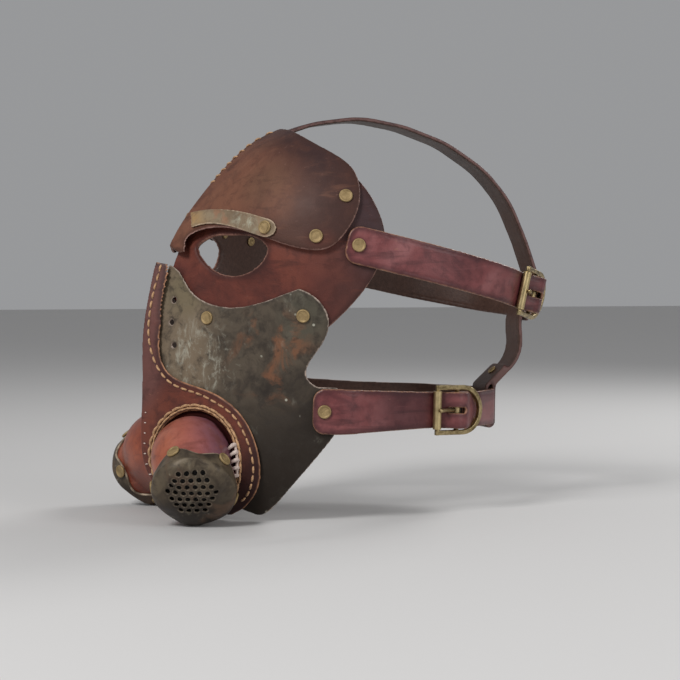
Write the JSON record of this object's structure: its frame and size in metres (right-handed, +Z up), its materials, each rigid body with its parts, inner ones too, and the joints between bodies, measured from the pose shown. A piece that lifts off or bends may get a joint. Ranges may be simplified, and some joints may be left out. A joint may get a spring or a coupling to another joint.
{
  "type": "respirator mask",
  "caption": "Leather respirator-style face mask with a brow visor, riveted cheek plates, stitched muzzle, two filter cups with perforated caps, and a buckled head harness.",
  "frame": {"origin": "centre of the wearer's head at eye level", "axes": "+Z up, the mask looks along -Y, +X is the wearer's left"},
  "size_m": [0.1618, 0.236, 0.2184],
  "materials": {
    "base_leather": "burnished dark red",
    "brow_leather": "reddish brown, worn edges",
    "strip_leather": "weathered pale olive over brown",
    "plate_leather": "weathered grey-olive patina",
    "muzzle_leather": "burgundy red",
    "cup_leather": "orange red to purple",
    "cap_metal": "weathered grey-olive",
    "strap_leather": "glossy burgundy",
    "aged_brass": "aged"
  },
  "bodies": {
    "mask": {"brow_plate_left": "brow_leather", "brow_plate_right": "brow_leather", "brow_rivets": "aged_brass", "brow_strip_left": "strip_leather", "brow_strip_right": "strip_leather", "brow_strip_rivets": "aged_brass", "cap_rivets_left": "aged_brass", "cap_rivets_right": "aged_brass", "cheek_plate_left": "plate_leather", "cheek_plate_right": "plate_leather", "cheek_rivets": "aged_brass", "crown_strap": "strap_leather", "eye_mask": "base_leather", "filter_cap_left": "cap_metal", "filter_cap_right": "cap_metal", "filter_cup_left": "cup_leather", "filter_cup_right": "cup_leather", "harness_rivets": "aged_brass", "lower_buckle_frame": "aged_brass", "lower_strap_left": "strap_leather", "lower_strap_right": "strap_leather", "muzzle": "muzzle_leather", "nape_strap": "strap_leather", "strap_rivets": "aged_brass", "upper_buckle_frame": "aged_brass", "upper_strap_left": "strap_leather", "upper_strap_right": "strap_leather"},
    "upper_tongue": {"upper_buckle_tongue": "aged_brass"},
    "upper_roller": {"upper_buckle_roller": "aged_brass"},
    "lower_tongue": {"lower_buckle_tongue": "aged_brass"},
    "lower_roller": {"lower_buckle_roller": "aged_brass"}
  },
  "joints": [
    {"name": "upper_tongue_hinge", "type": "hinge", "parent": "mask", "child": "upper_tongue", "pos_m": [0.0465, 0.09054, -0.02016], "axis": [0, 0.2284, 0.9736], "range_deg": [0, 85]},
    {"name": "upper_roller_spin", "type": "hinge", "parent": "mask", "child": "upper_roller", "pos_m": [0.05621, 0.08141, -0.01802], "axis": [0, 0.2284, 0.9736], "continuous": true},
    {"name": "lower_tongue_hinge", "type": "hinge", "parent": "mask", "child": "lower_tongue", "pos_m": [0.0476, 0.04548, -0.08313], "axis": [0, 0.0262, 0.9997], "range_deg": [0, 85]},
    {"name": "lower_roller_spin", "type": "hinge", "parent": "mask", "child": "lower_roller", "pos_m": [0.05199, 0.03272, -0.0828], "axis": [0, 0.0262, 0.9997], "continuous": true}
  ]
}
